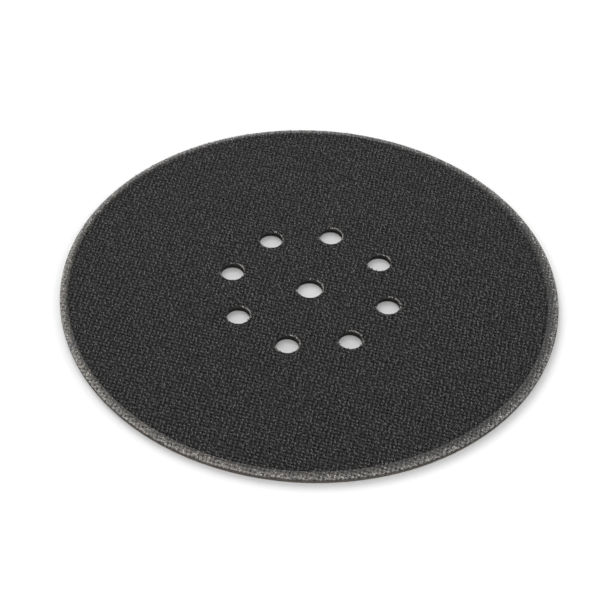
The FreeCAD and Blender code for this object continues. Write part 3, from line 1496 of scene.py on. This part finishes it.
@dataclass
class HookCloth:
    """The upper cloth: woven ground, hook rows, pressed rim and the marks of the cutting die."""

    plan: PadPlan
    wardrobe: Wardrobe
    pile: PileRecipe
    ends: EndsRecipe
    bands: int = 7  # the hooks are split into bands of rows
    hook_radius: float = 0.18 * MM
    hook_bends: int = 5
    pair_gap: float = 0.95 * MM
    ground_swell: float = 0.13 * MM
    rim_swell: float = 0.10 * MM
    rim_edge_height: float = 0.12 * MM  # the skin above the weave at the pad's edge
    rim_drop: float = 0.10 * MM  # how far below its box the skin starts among the hooks
    rim_crown: float = 0.10 * MM
    rim_tuck: float = 0.9 * MM  # how far the pressed skin reaches in among the hooks
    field_spread: float = 0.25 * MM  # how far the standing hooks lean out over the rim
    rim_shift: float = 0.65 * MM  # how far off the pad's centre the die pressed
    rim_shift_heading: float = math.radians(154)
    painted_light_heading: float = math.radians(222)  # the side of the rim with the most painted light
    # painted light: the rim is palest on one side and darker as painted shade round the other
    painted_light_swing: float = 0.22
    rim_steps: int = 1800
    rim_rows: int = 10
    rim_foot: float = 0.08 * MM  # the height of the skin's upright cut edge
    rim_shoulder: float = 0.10 * MM  # how far in from the cut edge the skin's top begins
    rim_bend: float = 0.62  # the share of the tuck where the skin bends down
    rim_bend_height: float = 0.35 * MM
    rim_sink: float = 0.10 * MM  # how deep in the weave the tuck ends
    pressed_share: float = 0.30  # how much of its height a pressed hook keeps
    lip_width: float = 0.25 * MM
    lip_steps: int = 96
    lip_ragged: float = 0.14 * MM
    disc_steps: int = 48
    rim_end_count: int = 1500
    rim_end_inset: float = 0.45 * MM  # how far in the outermost fused end lies
    rim_end_spread: float = 2.0 * MM
    rim_end_lift: float = 0.03 * MM
    rim_end_size: Triple = (0.42 * MM, 0.34 * MM, 0.20 * MM)
    hole_end_count: int = 84
    hole_end_inset: float = 0.30 * MM
    hole_end_spread: float = 0.35 * MM
    hole_end_lift: float = 0.32 * MM
    hole_end_size: Triple = (0.28 * MM, 0.24 * MM, 0.44 * MM)

    @property
    def field_radius(self) -> float:
        """Where the standing hooks end and the pressed rim begins."""
        return self.plan.hooks.radius + self.field_spread

    @property
    def field_centre(self) -> Triple:
        """The middle of the standing hooks."""
        turn = self.rim_shift_heading
        return (self.rim_shift * math.cos(turn), self.rim_shift * math.sin(turn), 0.0)

    def rim_width(self, turn: float) -> float:
        """How wide the pressed rim is at an angle round the pad."""
        shift = self.rim_shift * math.cos(turn - self.rim_shift_heading)
        return self.plan.rim.radius - self.field_radius - shift

    def rows(self) -> dict[str, object]:
        """How the hook rows lie on the cloth, by input name.

        Returns:
            A value for each input that places the rows.
        """
        weft, warp = HOOK_LATTICE.steps
        run = weft - warp
        repeat = float(np.linalg.norm(run))
        heading = math.atan2(run[1], run[0])
        along = run / repeat
        return {
            "Repeat": repeat,
            "Row Heading": heading,
            "Row Slip": float(weft @ along),
            "Row Pitch": float(weft @ (-along[1], along[0])),
            "Pair Gap": self.pair_gap,
            "Band Centre": self.field_centre,
        }

    def punch_discs(self) -> bpy.types.Mesh:
        """Lays a flat disc over each hole, from which the hooks keep clear.

        Returns:
            The discs as one mesh.
        """
        points, faces = [], []
        for punch in self.plan.punches:
            around, _ = ring(punch.x, punch.y, punch.radius, self.disc_steps, False)
            faces.append(list(range(len(points), len(points) + len(around))))
            points += [(x, y, 0.0) for x, y in around]
        mesh = bpy.data.meshes.new("punch_discs")
        mesh.from_pydata(points, [], faces)
        return mesh

    def strands(self, form: StrandForm, height: float) -> dict[str, object]:
        """What every band of strands of one form has in common.

        Args:
            form: How the strands are bent.
            height: The pile's height.

        Returns:
            A value for each of those inputs.
        """
        values: dict[str, object] = dict(self.rows())
        values.update(STRAND_SHAPES[form].scaled(height))
        values["Strand Radius"] = self.hook_radius
        values["Bends"] = self.hook_bends
        values["Strands per Row"] = 2 * int(self.plan.weave.radius / values["Repeat"] * 2) + 5
        return values

    def ground(self) -> bpy.types.Object:
        """Weaves the ground, which swells where its yarns cross.

        Returns:
            The ground.
        """
        level = self.plan.weave
        fill = HOOK_LATTICE.points(level.radius, 2)
        fill = fill[np.hypot(fill[:, 0], fill[:, 1]) < self.field_radius]
        top = cut_disc(self.plan, level.radius, fill)
        base = cut_disc(self.plan, level.radius, np.empty((0, 2)))

        def swell(x: float, y: float) -> float:
            """The height of the cloth at a place."""
            crown = HOOK_LATTICE.crown(x, y) if math.hypot(x, y) < self.field_radius else -1.0
            return level.high + self.ground_swell * (crown - 0.5)

        piece = slab("hook_cloth_ground", top, base, swell, lambda x, y: level.low, Wall())
        self.wardrobe.dress(piece, GROUND_CLOTH)
        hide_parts("ground_weave")
        return settle(piece)

    def hooks(self) -> list[bpy.types.Object]:
        """Stands the hooks, in bands of rows.

        Returns:
            The bands.
        """
        shared = self.strands(StrandForm.HOOK, self.plan.hooks.thickness)
        grower = Grower(self.pile, self.wardrobe, HOOK_NYLON)
        seat = self.plan.weave.high - self.ground_swell
        total = 2 * math.ceil(self.field_radius / shared["Row Pitch"]) + 1
        share = math.ceil(total / self.bands)
        made = []
        for band in range(self.bands):
            values = shared | {
                "Seed": 11 + band,
                "Rows": share,
                "First Row": band * share - total // 2,
                "Inner Radius": 0.0,
                "Outer Radius": self.field_radius,
                "Inner Seat": seat,
                "Outer Seat": seat,
                "Hole Gap": 0.05 * MM,
                "Edge Stray": 2.6 * MM,
                "Wander": 0.30 * MM,
                "Pair Wander": 0.45 * MM,
                "Lean": math.radians(16),
                "Yaw": math.radians(65),
                "Least Size": 0.62,
                "Patch Scale": 90.0,
                "Pair Share": 0.65,
                "Patch Share": 0.22,
            }
            made.append(grower.piece(f"hook_rows_{band + 1}", self.punch_discs(), values))
        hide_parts("hook_pile")
        return made

    def rim_height(self, offset: float) -> float:
        """How high the pressed skin is.

        Args:
            offset: The distance out from the pad's edge, which is negative on the pad.

        Returns:
            The height.
        """
        rim, top = self.plan.rim, self.plan.rim.high
        width = rim.radius - self.field_radius
        edge = rim.low + self.rim_edge_height
        share = min(1.0, max(0.0, -offset / width))
        crown = self.rim_crown * 4 * share * (1 - share)
        return edge + (top - self.rim_drop - edge) * share + crown

    def rim(self) -> bpy.types.Object:
        """Lays the skin of hooks pressed flat, ribbed by the yarns below it.

        Returns:
            The skin.
        """
        level = self.plan.rim
        width = level.radius - self.field_radius
        inner = -(width + self.rim_tuck)
        offsets = np.linspace(-self.rim_shoulder, -width, self.rim_rows)
        profile = [(0.0, level.low), (0.0, level.low + self.rim_foot)]
        profile += [(float(offset), self.rim_height(float(offset))) for offset in offsets]
        bend = -(width + self.rim_bend * self.rim_tuck)
        profile += [(bend, level.low + self.rim_bend_height), (inner, level.low - self.rim_sink)]
        lively = [0.0, 0.0, *[1.0] * len(offsets), 0.6, 0.0]

        def stretch(turn: float) -> float:
            """How much wider than its mean the rim is at an angle."""
            return self.rim_width(turn) / width

        def painted_light(turn: float) -> float:
            """How much painted light the rim has at an angle."""
            return 1.0 - self.painted_light_swing + self.painted_light_swing * math.cos(turn - self.painted_light_heading)

        shape = (tuple(profile), tuple(lively), stretch, painted_light)
        band = Band(0.0, 0.0, level.radius, self.rim_steps, *shape)

        def ribs(x: float, y: float) -> float:
            """The lift of the skin at a place."""
            lumps = sum(lump.at(x, y) for lump in RIM_LUMPS)
            return self.rim_swell * (HOOK_LATTICE.crown(x, y) + lumps)

        points, faces = band.mesh(ribs)
        piece = shell("pressed_rim", points, faces, 60.0)
        inscribe(piece, [band.marks(width)])
        self.wardrobe.dress(piece, PRESSED_SKIN)
        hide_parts("sealed_rim")
        return settle(piece)

    def pressed_hooks(self) -> bpy.types.Object:
        """Lays the hooks that the die pressed flat on the rim.

        Returns:
            The hooks, as one piece.
        """
        height = self.pressed_share * self.plan.hooks.thickness
        width = self.plan.rim.radius - self.field_radius
        values = self.strands(StrandForm.PRESSED, height)
        rows = math.ceil(self.plan.rim.radius / values["Row Pitch"])
        values |= {
            "Seed": 31,
            "Rows": 2 * rows + 1,
            "First Row": -rows,
            "Inner Radius": self.field_radius - 0.3 * MM,
            "Outer Radius": self.plan.rim.radius - self.rim_shift - 0.5 * MM,
            "Inner Seat": self.rim_height(-width),
            "Outer Seat": self.rim_height(-0.55 * MM),
            "Hole Gap": 0.0,
            "Edge Stray": 0.6 * MM,
            "Wander": 0.2 * MM,
            "Pair Wander": 0.2 * MM,
            "Lean": math.radians(7),
            "Yaw": math.radians(40),
            "Least Size": 0.6,
            "Patch Scale": 60.0,
            "Pair Share": 0.5,
            "Patch Share": 0.3,
        }
        grower = Grower(self.pile, self.wardrobe, PRESSED_STRANDS)
        return grower.piece("pressed_hooks", self.punch_discs(), values)

    def lips(self) -> bpy.types.Object:
        """Raises the thin ring of fused cloth round each hole.

        Returns:
            The rings, as one piece.
        """
        level = self.plan.weave
        profile = tuple((out * self.lip_width, level.high + lift) for out, lift, _ in LIP_PROFILE)
        lively = tuple(share for _, _, share in LIP_PROFILE)
        parts, marks = [], []
        for number, punch in enumerate(self.plan.punches):
            band = Band(punch.x, punch.y, punch.radius, self.lip_steps, profile, lively)

            def ragged(x: float, y: float, number: int = number) -> float:
                """The lift of the lip at a place."""
                place = Vector((x, y, 0.0)) * LIP_LUMPS + Vector((0, 0, number))
                return self.lip_ragged * noise.noise(place)

            parts.append(band.mesh(ragged))
            marks.append(band.marks(self.lip_width))
        points, faces = joined(parts)
        piece = shell("punch_lips", points, faces, 60.0)
        inscribe(piece, marks)
        self.wardrobe.dress(piece, PUNCHED_EDGE)
        return settle(piece)

    def scattered(self, count: int, seed: int) -> list[tuple[float, float]]:
        """Angles round a cut edge, each with a share of the way in, by chance.

        Args:
            count: How many there are.
            seed: The seed of the random draws.

        Returns:
            An angle and a share from 0, at the edge, to 1 for each.
        """
        draws = np.random.default_rng(seed).random((count, 2))
        return [(math.tau * turn, share * share) for turn, share in draws.tolist()]

    def fused_ends(
        self, title: str, marks: list[tuple[Triple, Triple]], seed: int, size: Triple
    ) -> bpy.types.Object:
        """Grows a fused yarn end on each marked place.

        Args:
            title: The piece's name.
            marks: The places, each with the direction that points out of the cloth there.
            seed: The seed of the random draws.
            size: The largest end's half length, half width and half height.

        Returns:
            The piece.
        """
        mesh = bpy.data.meshes.new(title)
        mesh.from_pydata([place for place, _ in marks], [], [])
        outward = mesh.attributes.new("outward", "FLOAT_VECTOR", "POINT")
        outward.data.foreach_set("vector", [value for _, away in marks for value in away])
        grower = Grower(self.ends, self.wardrobe, CUT_ENDS)
        return grower.piece(title, mesh, {"Seed": seed, "Bead Size": size})

    def rim_ends(self) -> bpy.types.Object:
        """Sets the pale fused yarn ends round the pad's edge.

        Returns:
            The ends, as one piece.
        """
        marks = []
        for turn, share in self.scattered(self.rim_end_count, 45):
            inset = self.rim_end_inset + self.rim_end_spread * share
            away = (math.cos(turn), math.sin(turn), 0.0)
            reach = self.plan.rim.radius - inset
            height = self.rim_height(-inset) + self.rim_end_lift
            marks.append(((reach * away[0], reach * away[1], height), away))
        return self.fused_ends("rim_yarn_ends", marks, 41, self.rim_end_size)

    def hole_ends(self) -> bpy.types.Object:
        """Sets the fused yarn ends round the holes, most of them on one side of the rows.

        Returns:
            The ends, as one piece.
        """
        marks = []
        across_rows = self.rows()["Row Heading"] + math.pi / 2
        height = self.plan.weave.high + self.hole_end_lift
        for number, punch in enumerate(self.plan.punches):
            for turn, share in self.scattered(self.hole_end_count, 60 + number):
                facing = math.cos(turn - across_rows)
                if HOLE_END_BACK < facing < HOLE_END_FRONT + HOLE_END_THINNING * share:
                    continue
                radius = punch.radius + self.hole_end_inset + self.hole_end_spread * share
                away = (math.cos(turn), math.sin(turn), 0.0)
                place = (punch.x + radius * away[0], punch.y + radius * away[1], height)
                marks.append((place, tuple(-value for value in away)))
        return self.fused_ends("hole_yarn_ends", marks, 43, self.hole_end_size)

    def build(self) -> None:
        ground = self.ground()
        on_it = [*self.hooks(), self.rim(), self.pressed_hooks(), self.lips()]
        on_it += [self.rim_ends(), self.hole_ends()]
        self.wardrobe.coat_node("resin_backcoat", RESIN_COAT)
        self.wardrobe.coat_node("upper_bond_film", BOND_FILM)


@dataclass
class Carrier:
    """The elastic middle layer and the film that bonds it to the loop cloth."""

    plan: PadPlan
    wardrobe: Wardrobe
    pore: float = 0.05 * MM

    def build(self) -> None:
        """Builds the carrier and dresses the film below it."""
        level = self.plan.carrier
        flat = cut_disc(self.plan, level.radius, np.empty((0, 2)), rim_steps=1440, hole_steps=96)
        wall = Wall(rows=5, bulge=0.04 * MM, roughness=self.pore, grain=0.5 * MM)
        piece = slab("carrier", flat, flat, lambda x, y: level.high, lambda x, y: level.low, wall)
        self.wardrobe.dress(piece, CARRIER_FOAM)
        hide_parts("carrier_disc")
        settle(piece)
        self.wardrobe.coat_node("lower_bond_film", BOND_FILM)


@dataclass
class LoopCloth:
    """The lower cloth: knit ground, the bed of brushed fibres and the loops that stand from it."""

    plan: PadPlan
    wardrobe: Wardrobe
    pile: PileRecipe
    halves: int = 2
    loop_pitch: float = 2.2 * MM
    loop_height: float = 0.62 * MM
    loop_radius: float = 0.10 * MM
    knit_swell: float = 0.02 * MM
    bed_depth: float = 0.50 * MM
    bed_swell: float = 0.06 * MM

    def knit(self) -> bpy.types.Object:
        """Knits the ground that carries the loops.

        Returns:
            The ground.
        """
        level = self.plan.knit
        top = cut_disc(self.plan, level.radius, np.empty((0, 2)))
        base = cut_disc(self.plan, level.radius, KNIT_LATTICE.points(level.radius, 1))

        def courses(x: float, y: float) -> float:
            """The height of the underside at a place."""
            return level.low - self.knit_swell * KNIT_LATTICE.crown(x, y)

        piece = slab("loop_cloth_ground", top, base, lambda x, y: level.high, courses, Wall(rows=2))
        self.wardrobe.dress(piece, KNIT_CLOTH)
        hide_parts("loop_ground")
        return settle(piece)

    def bed(self) -> bpy.types.Object:
        """Lays the matted fibres between the loops.

        Returns:
            The bed.
        """
        level = self.plan.nap
        top = cut_disc(self.plan, level.radius, np.empty((0, 2)))
        base = cut_disc(self.plan, level.radius, TUFT_LATTICE.points(level.radius, 1))

        def tufts(x: float, y: float) -> float:
            """The height of the fibres at a place."""
            lumps = sum(lump.at(x, y) for lump in BED_LUMPS)
            return level.high - self.bed_depth + self.bed_swell * lumps

        wall = Wall(rows=3, bulge=0.10 * MM, roughness=0.10 * MM, grain=0.4 * MM)
        piece = slab("nap_bed", top, base, lambda x, y: level.high, tufts, wall)
        self.wardrobe.dress(piece, NAP_BED)
        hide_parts("loop_nap")
        return settle(piece)

    def loops(self, base: Callable[[], bpy.types.Mesh]) -> list[bpy.types.Object]:
        """The loops, in halves.

        Args:
            base: Makes the discs that the loops keep clear of.

        Returns:
            The two halves.
        """
        level = self.plan.nap
        rows = 2 * math.ceil(level.radius / self.loop_pitch) + 1
        share = math.ceil(rows / self.halves)
        grower = Grower(self.pile, self.wardrobe, NAP_LOOPS)
        made = []
        for half in range(self.halves):
            values = STRAND_SHAPES[StrandForm.LOOP].scaled(self.loop_height)
            values |= {
                "Repeat": 2 * self.loop_pitch,
                "Row Heading": 0.12,
                "Row Slip": 0.9 * MM,
                "Row Pitch": self.loop_pitch,
                "Pair Gap": self.loop_pitch,
                "Strand Radius": self.loop_radius,
                "Bends": 5,
                "Strands per Row": 2 * int(level.radius / self.loop_pitch) + 7,
                "Seed": 51 + half,
                "Rows": share,
                "First Row": half * share - rows // 2,
                "Inner Radius": 0.0,
                "Outer Radius": level.radius - 0.1 * MM,
                "Inner Seat": level.high,
                "Outer Seat": level.high,
                "Hole Gap": 0.3 * MM,
                "Wander": 0.7 * MM,
                "Pair Wander": 0.3 * MM,
                "Pair Share": 0.3,
                "Lean": math.radians(14),
                "Yaw": math.pi,
                "Least Size": 0.75,
                "Patch Scale": 30.0,
                "Patch Share": 0.4,
            }
            made.append(grower.piece(f"loops_{half + 1}", base(), values))
        return made

    def build(self, discs: Callable[[], bpy.types.Mesh]) -> None:
        """Args:
            discs: Makes the discs that the loops keep clear of.
        """
        ground = self.knit()
        on_it = [self.bed(), *self.loops(discs)]


# ---------------------------------------------------------------------------------------------
# Studio
# ---------------------------------------------------------------------------------------------


@dataclass(frozen=True)
class Studio:
    """A pale floor under soft light, and the camera."""

    floor_side: float = 6.0
    floor_drop: float = 0.05 * MM
    floor_colour: Colour = (0.93, 0.93, 0.93)
    sky: float = 0.40  # the light from overhead
    horizon: float = 3.5  # the light from low down, all round
    sky_from: float = 0.62  # sine of the elevation where the overhead light begins
    horizon_to: float = 0.27  # sine of the elevation where the low light begins to fade
    lamp_watts: float = 11.0
    lamp_side: float = 1.0
    lamp_place: Triple = (-0.82, 1.02, 0.98)
    lens: float = 113.40  # millimetres on a 36 mm sensor
    distance: float = 0.8194
    azimuth: float = 13.84
    elevation: float = 44.36
    roll: float = -2.537
    aim_right: float = -4.15 * MM
    aim_up: float = -3.22 * MM

    def lay_floor(self) -> None:
        """Lays the floor just below the pad."""
        half = self.floor_side / 2
        corners = [(-half, -half), (half, -half), (half, half), (-half, half)]
        mesh = bpy.data.meshes.new("floor")
        mesh.from_pydata([(x, y, -self.floor_drop) for x, y in corners], [], [(0, 1, 2, 3)])
        material = bpy.data.materials.new("pale_floor")
        material.use_nodes = True
        shader = material.node_tree.nodes["Principled BSDF"]
        shader.inputs["Base Color"].default_value = (*self.floor_colour, 1.0)
        shader.inputs["Roughness"].default_value = 1.0
        shader.inputs["Specular IOR Level"].default_value = 0.0
        mesh.materials.append(material)
        floor = bpy.data.objects.new("floor", mesh)
        bpy.context.scene.collection.objects.link(floor)
        floor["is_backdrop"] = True

    def light(self) -> None:
        """Lights the pad from all round, with one large soft lamp to give the light a side."""
        world = bpy.data.worlds.new("studio")
        world.use_nodes = True
        wires = Wiring(world.node_tree)
        wires.tree.nodes.clear()
        _, _, height = wires.parts(wires.out("ShaderNodeTexCoord", "Generated"))
        strength = wires.span(height, self.horizon_to, self.sky_from, self.horizon, self.sky)
        white = (1.0, 1.0, 1.0, 1.0)
        shine = wires.out("ShaderNodeBackground", "Background", {"Color": white, "Strength": strength})
        wires.add("ShaderNodeOutputWorld", {"Surface": shine})
        bpy.context.scene.world = world
        lamp_data = bpy.data.lights.new("softbox", "AREA")
        lamp_data.shape = "SQUARE"
        lamp_data.size = self.lamp_side
        lamp_data.energy = self.lamp_watts
        lamp = bpy.data.objects.new("softbox", lamp_data)
        place = Vector(self.lamp_place)
        lamp.matrix_world = Matrix.Translation(place) @ place.to_track_quat("Z", "Y").to_matrix().to_4x4()
        bpy.context.scene.collection.objects.link(lamp)
        bpy.context.scene.view_settings.view_transform = "Standard"

    def set_camera(self) -> None:
        """Stands the camera at the given angle, rolled a little and aimed just off the centre."""
        turn, tilt, roll = (math.radians(x) for x in (self.azimuth, self.elevation, self.roll))
        back = Vector(
            (math.sin(turn) * math.cos(tilt), -math.cos(turn) * math.cos(tilt), math.sin(tilt))
        )
        level = Vector((math.cos(turn), math.sin(turn), 0.0))
        upright = back.cross(level)
        right = level * math.cos(roll) - upright * math.sin(roll)
        up = level * math.sin(roll) + upright * math.cos(roll)
        place = back * self.distance
        target = right * self.aim_right + up * self.aim_up
        axis = (place - target).normalized()
        right = up.cross(axis).normalized()
        up = axis.cross(right)
        data = bpy.data.cameras.new("camera")
        data.lens = self.lens
        data.clip_start, data.clip_end = 0.05, 20.0
        camera = bpy.data.objects.new("camera", data)
        turned = Matrix((right, up, axis)).transposed().to_4x4()
        camera.matrix_world = Matrix.Translation(place) @ turned
        bpy.context.scene.collection.objects.link(camera)
        bpy.context.scene.camera = camera

    def build(self) -> None:
        """Sets up the whole studio."""
        self.lay_floor()
        self.light()
        self.set_camera()


def main() -> None:
    """Builds the studio and the pad's sub-assemblies in order."""
    logging.basicConfig(level=logging.INFO, format="%(name)s %(message)s")
    Studio().build()
    plan = PadPlan.from_frame(frame["record"])
    wardrobe = Wardrobe()
    pile, ends = PileRecipe(), EndsRecipe()
    hook_cloth = HookCloth(plan, wardrobe, pile, ends)
    LoopCloth(plan, wardrobe, pile).build(hook_cloth.punch_discs)
    Carrier(plan, wardrobe).build()
    hook_cloth.build()
    total = sum(triangles_in(piece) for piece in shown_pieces() if piece.type == "MESH")
    log.info("the pad has %d triangles in all", total)


if __name__ == "__main__":
    main()
